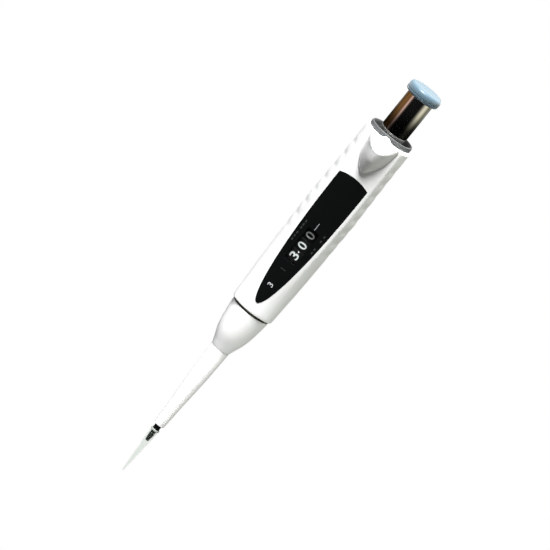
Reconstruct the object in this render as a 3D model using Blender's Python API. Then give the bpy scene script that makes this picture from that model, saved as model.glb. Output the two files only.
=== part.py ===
"""A single-channel air-displacement pipette with a disposable tip, built as separate parts.

Frame: +Z runs up the pipette's axis, -Y faces the display and +Y the finger hook. The origin lies on the axis,
in the plane in which a stand's fork carries the hook. Lengths are in millimetres and heights are counted from
the end of the tip; point() turns both into the frame's metres.
"""

import math

import bmesh
import bpy
from mathutils import Vector

MM = 0.001
HOOK_PLANE = 240.5  # height of the hook's underside, where the origin lies
GAP = 0.3  # clearance between neighbours that touch on the real object
RUNNING = 0.4  # clearance round parts that slide or turn in others

# Strokes that the parts leave room for
DOSE_STROKE = 10.6  # piston travel for the full volume
BLOWOUT_STROKE = 3.0
SCREW_TRAVEL = 10.15  # what the volume screw comes down between the largest and the smallest volume
EJECT_STROKE = 6.0
FULL_DROP = DOSE_STROKE + BLOWOUT_STROKE + SCREW_TRAVEL

# Handle: height, half width, front depth, rear depth, half width of the front face out to the seam, and how far
# that face falls back from its middle to the seam
HANDLE = (
    (122.9, 13.2, 13.1, 13.2, 9.0, 1.8),
    (123.6, 13.7, 13.4, 13.7, 9.3, 2.0),
    (125.3, 13.9, 13.5, 14.1, 9.5, 2.2),
    (134.7, 14.25, 13.9, 15.3, 9.7, 2.1),
    (146.0, 14.7, 14.3, 16.8, 9.9, 1.7),
    (158.0, 15.05, 14.5, 18.0, 10.2, 1.3),
    (174.0, 15.35, 14.5, 18.5, 10.6, 1.3),
    (186.0, 15.6, 14.5, 18.5, 11.1, 1.3),
    (198.0, 15.85, 14.5, 18.3, 11.7, 1.3),
    (207.0, 15.6, 14.5, 18.1, 11.7, 1.3),
    (225.0, 15.25, 14.5, 17.8, 11.6, 1.3),
    (241.0, 15.2, 14.5, 17.4, 11.6, 1.3),
    (247.5, 15.0, 14.4, 16.9, 11.4, 1.3),
    (249.8, 14.7, 14.3, 16.4, 11.1, 1.3),
    (250.5, 14.2, 14.0, 15.8, 10.7, 1.3),
)
SIDE_Y = 5.5  # how far in front of the axis the handle is widest
REAR_POWER = 2.6  # squareness of the rear
FRONT_WALL = 2.0
REAR_WALL = 1.6
SEAM_GAP = 0.2
SEAM_LEAN = 0.2  # how far the seam leans inwards through the wall
SCREW_X = 10.2  # the two screws that hold the shells together
SCREW_HEIGHT = 208.0
SCREW_HEAD_R = 1.7
SCREW_SEAT = 11.2  # Y of the underside of their heads

# Display panel and its window
PANEL_LOW = 130.0
PANEL_HIGH = 219.7
PANEL_RISE = 2.1  # height of the arc along its top edge
PANEL_HALF = 10.05
PANEL_POWER = 2.15
PANEL_THICK = 0.9
WINDOW_HALF = 3.9
WINDOW_LOW = 160.9
WINDOW_HIGH = 183.4

# Counter: three number drums around the axis
DRUM_R = 12.0
DRUM_TALL = 7.0
DRUM_HEIGHTS = {"drum_ones": 164.7, "drum_tenths": 172.1, "drum_hundredths": 179.5}
PINION_Y = 14.4
SLEEVE_R = 5.8  # outside of the drive sleeve, on which the drums turn

# Heights along the axis that neighbours share
COUPLING_TOP = 123.6
CALIBRATION_TOP = 130.2
NUT_R = 10.1  # outside of the coupling nut and of the bulkhead above it, beside which the ejector's rod runs
PISTON_HEAD_LOW = CALIBRATION_TOP + GAP + FULL_DROP
PISTON_HEAD_TALL = 2.4
ROD_LOW = PISTON_HEAD_LOW + PISTON_HEAD_TALL + GAP
DRIVE_LOW = 160.6
DRIVE_HIGH = 222.5
SCREW_LOW = 195.3
SCREW_HIGH = 236.5
COLLAR_LOW = 246.9
WEB_LOW = 242.0  # the web that ties the ejector's pad to its rod

# Operating button
BUTTON_R = 8.65
BUTTON_WALL = 0.75
BUTTON_LOW = 248.0
CAP_R = 10.95
CAP_LOW = 278.8
TOP = 285.0
ROD_R = 2.0

# Ejector
EJECTOR_ROD_R = 0.8
UPPER_ROD = (7.0, -9.0)  # where the ejector's rod runs beside the button
COUNTER_ROD = (8.6, -10.4)  # where it passes the drums
LOWER_ROD = (7.15, -8.75)  # where it meets the ejector cone

WIDE_ROUND = 28  # sides of the widest round parts
ROUND = 22
SMALL_ROUND = 16
TINY_ROUND = 10

# Looks: base colour, roughness, metallic
LOOKS = {
    "white": ((0.90, 0.91, 0.90), 0.35, 0.0),
    "grip": ((0.84, 0.86, 0.84), 0.45, 0.0),
    "black_gloss": ((0.01, 0.012, 0.012), 0.08, 0.0),
    "black": ((0.015, 0.015, 0.016), 0.35, 0.0),
    "clear": ((0.86, 0.88, 0.86), 0.08, 0.0),
    "collar_grey": ((0.20, 0.205, 0.215), 0.4, 0.0),
    "cap_blue": ((0.29, 0.44, 0.53), 0.35, 0.0),
    "chrome": ((0.75, 0.73, 0.70), 0.06, 1.0),
    "steel": ((0.60, 0.60, 0.60), 0.3, 1.0),
    "brass": ((0.72, 0.55, 0.25), 0.3, 1.0),
    "frame_grey": ((0.45, 0.46, 0.47), 0.5, 0.0),
    "seal": ((0.88, 0.87, 0.82), 0.5, 0.0),
    "nut_brown": ((0.16, 0.155, 0.13), 0.5, 0.0),
    "rubber": ((0.03, 0.03, 0.03), 0.7, 0.0),
}


def clear_scene():
    for old in list(bpy.data.objects):
        bpy.data.objects.remove(old, do_unlink=True)


def point(x, y, height):
    """A place in millimetres, height above the tip's end, as metres in the frame."""
    return Vector((x, y, height - HOOK_PLANE)) * MM


def material(name, look):
    colour, roughness, metallic = LOOKS[look]
    made = bpy.data.materials.new(name)
    made.use_nodes = True
    shader = made.node_tree.nodes["Principled BSDF"]
    shader.inputs["Base Color"].default_value = (*colour, 1.0)
    shader.inputs["Roughness"].default_value = roughness
    shader.inputs["Metallic"].default_value = metallic
    return made


def put(name, data, look, at=(0.0, 0.0)):
    """Links an object for one part, with its own material and its origin on the vertical through at."""
    made = bpy.data.objects.new(name, data)
    made.location = (at[0] * MM, at[1] * MM, 0.0)
    data.materials.append(material(name, look))
    bpy.context.scene.collection.objects.link(made)
    return made


def solid(name, bm, look, at=(0.0, 0.0)):
    """One closed mesh, faces out, shaded smooth with sharp edges kept."""
    bmesh.ops.recalc_face_normals(bm, faces=bm.faces)
    mesh = bpy.data.meshes.new(name)
    bm.to_mesh(mesh)
    bm.free()
    mesh.shade_smooth()
    mesh.set_sharp_from_angle(angle=math.radians(32))
    return put(name, mesh, look, at)


def bridge(bm, ring, after):
    """Joins two rings of corners with faces; a ring of one corner is a pole."""
    count = max(len(ring), len(after))
    for i in range(count):
        j = (i + 1) % count
        corners = [ring[i % len(ring)], ring[j % len(ring)], after[j % len(after)], after[i % len(after)]]
        face = list(dict.fromkeys(corners))
        if len(face) > 2:
            bm.faces.new(face)


def circle(radius, height, sides):
    turns = [2 * math.pi * i / sides for i in range(sides)]
    return [point(radius * math.cos(a), radius * math.sin(a), height) for a in turns]


def turned(name, outline, look, sides=ROUND, at=(0.0, 0.0)):
    """Turns a closed outline of (radius, height) about the vertical through at."""
    bm = bmesh.new()
    rings = []
    for radius, height in outline:
        corners = circle(radius, height, sides) if radius else [point(0, 0, height)]
        rings.append([bm.verts.new(c) for c in corners])
    for ring, after in zip(rings, rings[1:] + rings[:1]):
        bridge(bm, ring, after)
    return solid(name, bm, look, at)


def tube(name, inner, outer, low, high, look, sides=ROUND, at=(0.0, 0.0)):
    outline = [(outer, low), (outer, high), (inner, high), (inner, low)]
    return turned(name, outline, look, sides, at)


def rod(name, radius, low, high, look, sides=SMALL_ROUND, at=(0.0, 0.0)):
    return turned(name, [(0, low), (radius, low), (radius, high), (0, high)], look, sides, at)


def toothed(name, outer, depth, teeth, bore, low, high, look, at=(0.0, 0.0)):
    """A ring whose outside is cut into teeth or flutes."""
    bm = bmesh.new()
    sides = 2 * teeth
    rings = []
    for radius, height, notch in ((outer, low, depth), (outer, high, depth), (bore, high, 0), (bore, low, 0)):
        corners = []
        for i in range(sides):
            turn = 2 * math.pi * i / sides
            reach = radius - notch * (i % 2)
            corners.append(point(reach * math.cos(turn), reach * math.sin(turn), height))
        rings.append([bm.verts.new(c) for c in corners])
    for ring, after in zip(rings, rings[1:] + rings[:1]):
        bridge(bm, ring, after)
    return solid(name, bm, look, at)


def lofted(name, sections, look):
    """A skin through closed sections with the same number of corners, with flat ends."""
    bm = bmesh.new()
    rings = [[bm.verts.new(c) for c in section] for section in sections]
    for ring, after in zip(rings, rings[1:]):
        bridge(bm, ring, after)
    bm.faces.new(rings[0])
    bm.faces.new(rings[-1])
    return solid(name, bm, look)


def walled(name, sections, look):
    """A curved plate: each section runs along its outside and back along its inside."""
    bm = bmesh.new()
    rings = [[bm.verts.new(c) for c in section] for section in sections]
    for ring, after in zip(rings, rings[1:]):
        bridge(bm, ring, after)
    for ring in (rings[0], rings[-1]):
        last = len(ring) - 1
        for i in range(len(ring) // 2 - 1):
            bm.faces.new([ring[i], ring[i + 1], ring[last - i - 1], ring[last - i]])
    return solid(name, bm, look)


def box(name, low, high, look="frame_grey"):
    corners = [(low[0], low[1]), (high[0], low[1]), (high[0], high[1]), (low[0], high[1])]
    return lofted(name, [[point(x, y, z) for x, y in corners] for z in (low[2], high[2])], look)


def wire(name, path, radius, look, around=1, at=(0.0, 0.0)):
    """A round wire or rod along a list of places."""
    curve = bpy.data.curves.new(name, "CURVE")
    curve.dimensions = "3D"
    curve.bevel_depth = radius * MM
    curve.bevel_resolution = around
    curve.use_fill_caps = True
    curve.render_resolution_u = 0
    line = curve.splines.new("POLY")
    line.points.add(len(path) - 1)
    for corner, place in zip(line.points, path):
        corner.co = (*place, 1.0)
    return put(name, curve, look, at)


def coil(name, radius, wire_radius, low, high, turns, look, at=(0.0, 0.0)):
    """A compression spring, its wire's middle from low to high."""
    per_turn = 10
    steps = turns * per_turn
    path = []
    for i in range(steps + 1):
        turn = 2 * math.pi * i / per_turn
        path.append(point(radius * math.cos(turn), radius * math.sin(turn), low + (high - low) * i / steps))
    return wire(name, path, wire_radius, look, 0, at)


def hidden(guide):
    """Marks a cutter or an addition, which isn't a part itself."""
    guide.hide_render = True
    guide.display_type = "WIRE"
    return guide


def combine(base, guide, how):
    step = base.modifiers.new(guide.name, "BOOLEAN")
    step.operation = how
    step.object = hidden(guide)


def cut(base, guide):
    combine(base, guide, "DIFFERENCE")


def join(base, guide):
    combine(base, guide, "UNION")


# --- the handle's outline ---------------------------------------------------------------------------------


def ease(before, here, after, beyond, share):
    """Catmull-Rom value between here and after."""
    slope_in = (after - before) / 2
    slope_out = (beyond - here) / 2
    cubic = 2 * here - 2 * after + slope_in + slope_out
    square = 3 * after - 3 * here - 2 * slope_in - slope_out
    return ((cubic * share + square) * share + slope_in) * share + here


def handle_at(height):
    """The columns of HANDLE at a height."""
    last = len(HANDLE) - 1
    spot = max(i for i in range(last) if HANDLE[i][0] <= height or i == 0)
    share = (height - HANDLE[spot][0]) / (HANDLE[spot + 1][0] - HANDLE[spot][0])
    rows = [HANDLE[min(max(spot + k, 0), last)] for k in (-1, 0, 1, 2)]
    return [ease(*(row[column] for row in rows), share) for column in range(1, 6)]


def front_y(x, height, inset=0.0):
    """Y of the front face, or of a surface that lies inset behind it."""
    _, front, _, seam, crown = handle_at(height)
    return -(front - inset - crown * (x / seam) ** 2)


def front_section(height):
    half_out = handle_at(height)[3] - SEAM_GAP
    half_in = half_out - SEAM_LEAN
    steps = [i / 3 - 1 for i in range(7)]
    outside = [point(half_out * u, front_y(half_out * u, height), height) for u in steps]
    inside = [point(half_in * u, front_y(half_in * u, height, FRONT_WALL), height) for u in steps]
    return outside + inside[::-1]


def rear_half(height, wall):
    """Right half of the rear shell's section, from the seam round to the middle of the back."""
    half, front, rear, seam_x, crown = handle_at(height)
    half, front, rear = half - wall, front - wall, rear - wall
    seam = Vector((seam_x - SEAM_LEAN * wall / REAR_WALL, crown - front))
    side = Vector((half, -SIDE_Y))
    seam += (side - seam).normalized() * SEAM_GAP
    places = [seam, seam.lerp(side, 0.5)]
    bends = 6
    for i in range(bends + 1):
        turn = math.pi / 2 * i / bends
        x = half * max(math.cos(turn), 0.0) ** (2 / REAR_POWER)
        y = -SIDE_Y + (rear + SIDE_Y) * math.sin(turn) ** (2 / REAR_POWER)
        places.append(Vector((x, y)))
    return places


def rear_section(height):
    loops = []
    for wall in (0.0, REAR_WALL):
        right = rear_half(height, wall)
        left = [Vector((-p.x, p.y)) for p in right[-2::-1]]
        loops.append([point(p.x, p.y, height) for p in right + left])
    outside, inside = loops
    return outside + inside[::-1]


def handle_shells():
    heights = [row[0] for row in HANDLE]
    front = walled("front_shell", [front_section(h) for h in heights], "white")
    cut(front, panel("panel_recess", GAP, 2.0, PANEL_THICK + GAP))
    cut(front, window_box("window_cutter", 0.4, 10.0))
    cut(front, box("web_slot", (-3.2, -20.0, WEB_LOW - EJECT_STROKE - 0.4), (3.2, -8.0, COLLAR_LOW)))
    rear = walled("rear_shell", [rear_section(h) for h in heights], "grip")
    for name, side in (("left", -1), ("right", 1)):
        x = side * SCREW_X
        cut(rear, bore(f"screw_hole_{name}", x, SCREW_HEAD_R + GAP, 9.0, 20.0))
        screw(f"shell_screw_{name}", x)


# --- display ----------------------------------------------------------------------------------------------


def panel_half(height):
    share = (height - PANEL_LOW) / (PANEL_HIGH - PANEL_LOW)
    return PANEL_HALF * math.sqrt(max(1 - (1 - share) ** PANEL_POWER, 0.0))


def panel(name, grow, proud, depth):
    """The panel's shape: a curved plate from proud of the front face down to depth, grown all round."""
    shares = [0.004, 0.02, 0.05, 0.11, 0.2, 0.32, 0.46, 0.62, 0.8, 1.0]
    heights = [PANEL_LOW + s * (PANEL_HIGH - PANEL_LOW) for s in shares]
    steps = [i / 3 - 1 for i in range(7)]
    sections = []
    for row, height in enumerate(heights + [PANEL_HIGH + PANEL_RISE]):
        top = row == len(heights)
        half = panel_half(min(height, PANEL_HIGH)) + grow
        half = half if not top else half * 0.999
        outside, inside = [], []
        for u in steps:
            rise = -PANEL_RISE * u * u * 0.98 + grow if top else 0.0
            drop = -grow if row == 0 else 0.0
            x = half * u
            where = height + rise + drop
            outside.append(point(x, front_y(x, height) - proud, where))
            inside.append(point(x, front_y(x, height) + depth, where))
        sections.append(outside + inside[::-1])
    return walled(name, sections, "black_gloss")


def window_box(name, grow, depth):
    half = WINDOW_HALF + grow
    return box(name, (-half, -20.0, WINDOW_LOW - grow), (half, -20.0 + depth, WINDOW_HIGH + grow))


def display():
    plate = panel("display_panel", 0.0, 0.0, PANEL_THICK)
    cut(plate, window_box("lens_opening", 0.0, 10.0))
    half = WINDOW_HALF - GAP
    steps = [i / 2 - 1 for i in range(5)]
    sections = []
    for height in (WINDOW_LOW + GAP, WINDOW_HIGH - GAP):
        outside = [point(half * u, front_y(half * u, height), height) for u in steps]
        inside = [point(half * u, front_y(half * u, height) + PANEL_THICK, height) for u in steps]
        sections.append(outside + inside[::-1])
    walled("display_lens", sections, "clear")


# --- shell screws -----------------------------------------------------------------------------------------


def across(name, profile, x, look, sides=TINY_ROUND):
    """Turns an outline of (radius, y) about a line along Y at x and the screws' height."""
    bm = bmesh.new()
    rings = []
    for radius, y in profile:
        turns = [2 * math.pi * i / sides for i in range(sides)] if radius else [0.0]
        corners = [point(x + radius * math.cos(a), y, SCREW_HEIGHT + radius * math.sin(a)) for a in turns]
        rings.append([bm.verts.new(c) for c in corners])
    for ring, after in zip(rings, rings[1:]):
        bridge(bm, ring, after)
    return solid(name, bm, look)


def bore(name, x, radius, y_in, y_out):
    return across(name, [(0, y_in), (radius, y_in), (radius, y_out), (0, y_out)], x, "steel", SMALL_ROUND)


def screw(name, x):
    """A self-tapping screw with its head sunk in the rear shell."""
    head_y = SCREW_SEAT
    shank = 0.9
    outline = [(0, 0.5), (shank, 1.5), (shank, head_y), (SCREW_HEAD_R, head_y), (SCREW_HEAD_R, head_y + 1.4)]
    drive = [(0.9, head_y + 1.4), (0.9, head_y + 0.6), (0, head_y + 0.6)]
    across(name, outline + drive, x, "steel", SMALL_ROUND)


# --- finger hook ------------------------------------------------------------------------------------------


def finger_hook():
    """A saddle against the rear shell and an arm that curves back and down over the finger."""
    # y and height of the arm's middle line, half width, half thickness, lean of the thickness from upright
    rows = (
        (14.5, 240.0, 7.0, 6.0, 0),
        (17.9, 240.2, 7.0, 5.6, 0),
        (19.6, 241.4, 6.9, 4.2, 0),
        (22.0, 242.6, 6.8, 2.9, 0),
        (25.0, 243.0, 6.6, 2.5, 0),
        (34.0, 243.0, 6.3, 2.5, 0),
        (38.0, 241.6, 6.0, 2.4, 36),
        (41.0, 238.2, 5.6, 2.2, 62),
        (42.3, 233.6, 5.0, 1.9, 82),
        (42.4, 231.0, 3.8, 1.2, 90),
    )
    sections = []
    for y, height, half, thick, lean in rows:
        over_y = thick * math.sin(math.radians(lean))
        over_z = thick * math.cos(math.radians(lean))
        loop = []
        for x, side in hook_loop():
            loop.append(point(x * half, y + side * over_y, height + side * over_z))
        sections.append(loop)
    hook = lofted("finger_hook", sections, "white")
    seat = []
    for height in (225.0, 233.0, 241.0, 247.5, 250.5):
        right = rear_half(height, -GAP)
        seat.append([point(x, y, height) for x, y in right] + [point(-x, y, height) for x, y in right[-2::-1]])
    cut(hook, lofted("hook_seat", seat, "white"))


def hook_loop():
    """Unit section of the arm: flat above and below, round at both sides."""
    return (
        (-0.55, -1.0),
        (0.55, -1.0),
        (0.92, -0.6),
        (1.0, 0.0),
        (0.92, 0.6),
        (0.55, 1.0),
        (-0.55, 1.0),
        (-0.92, 0.6),
        (-1.0, 0.0),
        (-0.92, -0.6),
    )


# --- operating button and piston --------------------------------------------------------------------------


def top_collar():
    """The grey ring at the top of the handle, with the recess that the button rises from."""
    outline = [
        (11.7, COLLAR_LOW),
        (11.7, 250.8),
        (14.0, 250.8),
        (14.2, 251.4),
        (14.15, 252.3),
        (13.7, 252.9),
        (13.0, 253.0),
        (12.2, 252.6),
        (11.8, 252.0),
        (11.1, 251.0),
        (11.0, 248.6),
        (BUTTON_R + RUNNING, 248.3),
        (BUTTON_R + RUNNING, COLLAR_LOW),
    ]
    turned("top_collar", outline, "collar_grey", WIDE_ROUND)


def button():
    inner = BUTTON_R - BUTTON_WALL
    top = CAP_LOW - GAP
    sleeve = [
        (BUTTON_R, BUTTON_LOW),
        (BUTTON_R, top),
        (ROD_R + RUNNING, top),
        (ROD_R + RUNNING, top - 1.6),
        (inner, top - 1.6),
        (inner, BUTTON_LOW),
    ]
    turned("button_sleeve", sleeve, "chrome", WIDE_ROUND)
    seam = CAP_LOW + 1.9
    head = [(0, CAP_LOW), (9.2, CAP_LOW), (10.2, CAP_LOW + 0.5), (10.7, CAP_LOW + 1.5), (10.75, seam), (0, seam)]
    turned("button_head", head, "cap_blue", WIDE_ROUND)
    low = seam + GAP
    cap = [(0, low), (10.75, low), (CAP_R, low + 0.5), (CAP_R, TOP - 2.2), (10.6, TOP - 1.1), (9.7, TOP - 0.35)]
    cap += [(8.2, TOP), (0, TOP)]
    turned("colour_cap", cap, "cap_blue", WIDE_ROUND)
    toothed("button_retainer", 6.2, 0.4, 12, ROD_R + RUNNING, top - 7.5, top - 2.7, "frame_grey")
    rod("operating_rod", ROD_R, ROD_LOW, top - 0.6, "steel")
    tube("stop_collar", ROD_R + GAP, 3.9, SCREW_LOW - 2.6, SCREW_LOW - GAP, "steel", SMALL_ROUND)


def piston():
    low = PISTON_HEAD_LOW
    high = low + PISTON_HEAD_TALL
    rod("piston", 0.3, 58.0, low - GAP, "steel", TINY_ROUND)
    turned("piston_head", [(0, low), (5.4, low), (5.4, low + 1.2), (3.0, high), (0, high)], "black", SMALL_ROUND)
    coil("main_spring", 4.6, 0.4, CALIBRATION_TOP + 0.8, low - 0.8, 6, "steel")


# --- volume setting ---------------------------------------------------------------------------------------


def volume_drive():
    tube("drive_sleeve", 4.7, SLEEVE_R, DRIVE_LOW, DRIVE_HIGH, "frame_grey", SMALL_ROUND)
    toothed("click_wheel", 9.2, 0.6, 20, SLEEVE_R + RUNNING, 190.0, 193.0, "frame_grey")
    tube("volume_screw", ROD_R + RUNNING, 4.2, SCREW_LOW, SCREW_HIGH, "brass", SMALL_ROUND)
    tube("volume_nut", 4.5, 6.8, DRIVE_HIGH + 1.0, DRIVE_HIGH + 8.0, "brass", SMALL_ROUND)
    bulkhead = [(7.6, 231.0), (7.6, 219.5), (8.9, 219.5), (8.9, 217.0), (6.2, 217.0), (7.1, 218.2), (7.1, 231.0)]
    turned("upper_bulkhead", bulkhead, "frame_grey", ROUND)
    leaf = [(-6.5, 11.6), (0.0, 9.55), (6.5, 11.6), (6.5, 12.0), (0.0, 9.95), (-6.5, 12.0)]
    lofted("click_spring", [[point(x, y, z) for x, y in leaf] for z in (190.4, 192.6)], "steel")


def counter():
    for name, middle in DRUM_HEIGHTS.items():
        low = middle - DRUM_TALL / 2
        high = middle + DRUM_TALL / 2
        bore_r = SLEEVE_R + RUNNING
        outline = [(DRUM_R, low), (DRUM_R, high), (10.2, high), (10.2, middle), (bore_r, middle), (bore_r, low)]
        turned(name, outline, "black", 30)
    for name, height in (("pinion_lower", 168.4), ("pinion_upper", 175.8)):
        toothed(name, 2.0, 0.6, 8, 0.8, height - 1.8, height + 1.8, "frame_grey", (0.0, PINION_Y))
    rod("pinion_shaft", 0.5, 160.7, 183.6, "steel", TINY_ROUND, (0.0, PINION_Y))
    counter_frame()


def counter_frame():
    """Two end plates joined by posts, with a tongue that carries the pinion shaft."""
    low = (DRIVE_LOW - 3.0, DRIVE_LOW - 0.2)
    high = (183.9, 186.5)
    frame = rod("counter_frame", 11.7, low[0], low[1], "frame_grey", ROUND)
    join(frame, rod("frame_top", 11.7, high[0], high[1], "frame_grey", ROUND))
    for level, (bottom, top) in (("low", low), ("high", high)):
        join(frame, box(f"frame_ears_{level}", (-10.5, 7.7, bottom + 0.02), (10.5, 10.1, top - 0.02)))
        join(frame, box(f"frame_tongue_{level}", (-2.6, 9.0, bottom + 0.04), (2.6, 15.5, top - 0.04)))
    for side, x in (("left", -9.6), ("right", 9.6)):
        join(frame, rod(f"frame_post_{side}", 0.8, low[0] + 0.6, high[1] - 0.6, "frame_grey", TINY_ROUND, (x, 9.0)))
    cut(frame, rod("frame_bore", 6.3, 150.0, 195.0, "frame_grey", SMALL_ROUND))


# --- ejector ----------------------------------------------------------------------------------------------


def ejector_button():
    """The thumb pad: it slopes out to a lip, and its underside runs back to a point on the front face."""
    # height, half width, how far it stands out, squareness across
    rows = (
        (224.0, 0.6, 0.5, 2.0),
        (229.0, 3.1, 2.2, 2.0),
        (234.0, 5.5, 3.9, 2.1),
        (238.5, 7.7, 5.3, 2.3),
        (241.5, 9.1, 6.2, 2.8),
        (243.0, 9.5, 6.0, 3.0),
        (247.0, 9.7, 3.9, 4.0),
        (250.4, 9.6, 1.7, 6.0),
        (251.0, 9.3, 1.2, 8.0),
    )
    sections = []
    steps = [i / 5 - 1 for i in range(11)]
    for height, half, proud, power in rows:
        lie = [front_y(half * u, min(height, 247.0)) - 0.4 for u in steps]
        outside = [point(half * u, y - proud * (1 - abs(u) ** power) - 0.2, height) for u, y in zip(steps, lie)]
        inside = [point(half * u, y, height) for u, y in zip(steps, lie)]
        sections.append(outside + inside[::-1])
    beak = walled("ejector_button", sections, "white")
    high = COLLAR_LOW - 0.5
    join(beak, box("web", (-2.8, -15.8, WEB_LOW), (2.8, -9.8, high)))
    join(beak, box("web_arm", (2.0, -11.3, WEB_LOW + 1.0), (8.8, -9.85, high - 0.05)))
    join(beak, box("web_foot", (5.3, -11.25, WEB_LOW + 1.05), (8.75, -7.9, high - 0.1)))


def ejector():
    ejector_button()
    places = [(*UPPER_ROD, WEB_LOW + 0.7), (*UPPER_ROD, 196.0), (*COUNTER_ROD, 192.0), (*COUNTER_ROD, 156.5)]
    places += [(*LOWER_ROD, 147.0), (*LOWER_ROD, 121.8)]
    wire("ejector_rod", [point(*p) for p in places], EJECTOR_ROD_R, "steel")
    tube("rod_clip", EJECTOR_ROD_R + GAP, 2.1, 216.4, 217.2, "steel", TINY_ROUND, UPPER_ROD)
    coil("ejector_spring", 1.6, 0.22, 199.9, 216.0, 6, "steel", UPPER_ROD)
    guide = box("ejector_guide", (4.7, -11.2, 197.6), (9.3, -6.8, 199.4))
    cut(guide, rod("guide_bore", EJECTOR_ROD_R + RUNNING, 190.0, 205.0, "steel", SMALL_ROUND, UPPER_ROD))
    cone = [
        (12.45, 120.9),
        (12.2, 121.4),
        (11.3, 121.4),
        (10.9, 118.5),
        (10.2, 112.0),
        (8.1, 102.4),
        (6.0, 97.0),
        (4.65, 94.0),
        (4.65, 88.6),
        (4.95, 88.6),
        (4.95, 92.7),
        (5.95, 92.7),
        (7.5, 97.1),
        (9.4, 101.8),
        (10.5, 106.5),
        (11.35, 111.2),
        (12.0, 116.0),
    ]
    turned("ejector_cone", cone, "white", WIDE_ROUND)
    collar = [
        (3.25, 34.7),
        (3.55, 40.0),
        (4.0, 49.7),
        (4.75, 61.6),
        (5.45, 73.4),
        (6.05, 92.4),
        (5.25, 92.4),
        (5.25, 88.0),
        (4.65, 73.4),
        (3.95, 61.6),
        (3.2, 49.7),
        (2.75, 40.0),
        (2.45, 34.7),
    ]
    turned("ejector_collar", collar, "white", ROUND)


# --- lower part -------------------------------------------------------------------------------------------


def cylinder():
    """The black barrel: it holds the seal and the piston, and its nose takes the tip."""
    outline = [
        (0.75, 22.9),
        (1.05, 22.9),
        (1.7, 27.9),
        (1.25, 28.1),
        (1.25, 28.8),
        (1.65, 29.0),
        (1.75, 31.1),
        (2.05, 31.9),
        (2.05, 40.0),
        (2.7, 50.0),
        (3.4, 62.0),
        (4.1, 74.0),
        (4.35, 93.5),
        (5.0, 97.0),
        (7.2, 102.0),
        (7.2, COUPLING_TOP + 0.4),
        (9.6, COUPLING_TOP + 0.4),
        (9.6, COUPLING_TOP + 3.4),
        (6.2, COUPLING_TOP + 3.4),
        (6.2, 103.0),
        (4.4, 102.4),
        (4.4, 99.0),
        (2.6, 98.9),
        (2.6, 94.8),
        (0.75, 94.6),
    ]
    turned("cylinder", outline, "black", ROUND)


def lower_parts():
    cylinder()
    toothed("coupling_nut", NUT_R, 0.3, 20, 7.6, COUPLING_TOP - 6.0, COUPLING_TOP, "nut_brown")
    tube("piston_seal", 0.65, 2.25, 95.2, 97.2, "seal", SMALL_ROUND)
    tube("o_ring", 0.9, 2.2, 97.5, 98.6, "rubber", SMALL_ROUND)
    tube("seal_retainer", 0.9, 4.05, 99.3, 102.0, "brass", SMALL_ROUND)
    coil("blowout_spring", 5.2, 0.35, 103.8, 111.8, 4, "steel")
    tube("stop_plate", 3.1, 5.85, 112.6, 114.0, "steel", SMALL_ROUND)
    tube("lower_bulkhead", 7.0, NUT_R, COUPLING_TOP + 3.8, CALIBRATION_TOP, "frame_grey")
    tube("calibration_nut", 3.8, 6.6, COUPLING_TOP + 4.0, CALIBRATION_TOP, "brass", SMALL_ROUND)


def tip():
    """A thin-walled disposable tip, open at both ends."""
    outer = [(0.5, 0.0), (1.0, 7.0), (1.45, 14.0), (1.65, 18.5), (2.05, 21.5), (2.35, 28.0), (2.45, 30.3), (2.7, 30.5)]
    rim = [(2.7, 31.5), (2.3, 31.5)]
    inner = [(2.15, 28.4), (1.75, 22.2), (1.2, 18.0), (1.05, 14.0), (0.65, 7.0), (0.25, 0.0)]
    turned("tip", outer + rim + inner, "clear", SMALL_ROUND)


def main():
    clear_scene()
    handle_shells()
    display()
    finger_hook()
    top_collar()
    button()
    piston()
    volume_drive()
    counter()
    ejector()
    lower_parts()
    tip()


main()
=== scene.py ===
"""The looks of a single-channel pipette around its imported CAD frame.

Lengths in the tables are millimetres and heights are counted from the tip's end. spot() turns both into the
frame's metres. X runs to the right, Y to the back and Z up, with the origin at the finger hook's plane.
"""

import math

import bmesh
import bpy
import numpy as np
from mathutils import Matrix, Vector

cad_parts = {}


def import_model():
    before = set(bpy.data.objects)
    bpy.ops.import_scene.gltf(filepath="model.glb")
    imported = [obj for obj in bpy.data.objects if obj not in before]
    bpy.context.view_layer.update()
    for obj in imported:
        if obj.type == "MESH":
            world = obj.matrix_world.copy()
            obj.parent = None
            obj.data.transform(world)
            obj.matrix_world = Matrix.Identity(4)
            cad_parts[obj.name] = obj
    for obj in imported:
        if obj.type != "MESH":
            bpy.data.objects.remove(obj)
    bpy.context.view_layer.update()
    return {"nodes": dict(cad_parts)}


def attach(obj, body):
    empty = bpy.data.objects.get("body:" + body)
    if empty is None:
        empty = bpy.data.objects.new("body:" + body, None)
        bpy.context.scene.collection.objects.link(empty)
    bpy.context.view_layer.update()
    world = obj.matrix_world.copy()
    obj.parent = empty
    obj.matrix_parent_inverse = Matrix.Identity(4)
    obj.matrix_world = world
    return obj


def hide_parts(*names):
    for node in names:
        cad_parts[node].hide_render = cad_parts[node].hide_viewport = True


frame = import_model()

MM = 0.001
HOOK_PLANE = 240.5  # height of the frame's origin above the tip's end

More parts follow.
